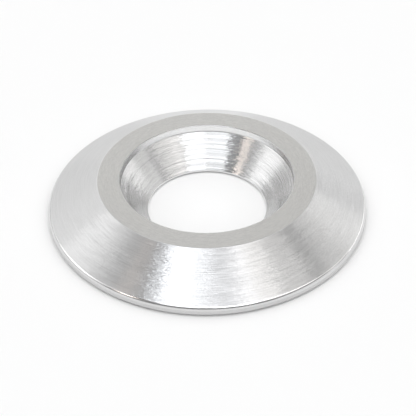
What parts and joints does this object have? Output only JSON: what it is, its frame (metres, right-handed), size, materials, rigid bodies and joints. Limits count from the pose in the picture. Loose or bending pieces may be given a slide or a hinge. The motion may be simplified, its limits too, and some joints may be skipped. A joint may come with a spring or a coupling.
{
  "type": "finishing cup washer",
  "caption": "Turned aluminium finishing washer: a low cone with a narrow flat land round a countersunk seat that takes the head of a countersunk screw.",
  "frame": {"origin": "centre of the flat base, on the turning axis", "axes": "+Z along the turning axis, from the base up through the mouth of the seat; +X and +Y lie in the base"},
  "size_m": [0.024, 0.024, 0.0031],
  "materials": {
    "turned_aluminium": "bare, fine turned"
  },
  "bodies": {
    "root": {"cup_washer": "turned_aluminium"}
  },
  "joints": []
}
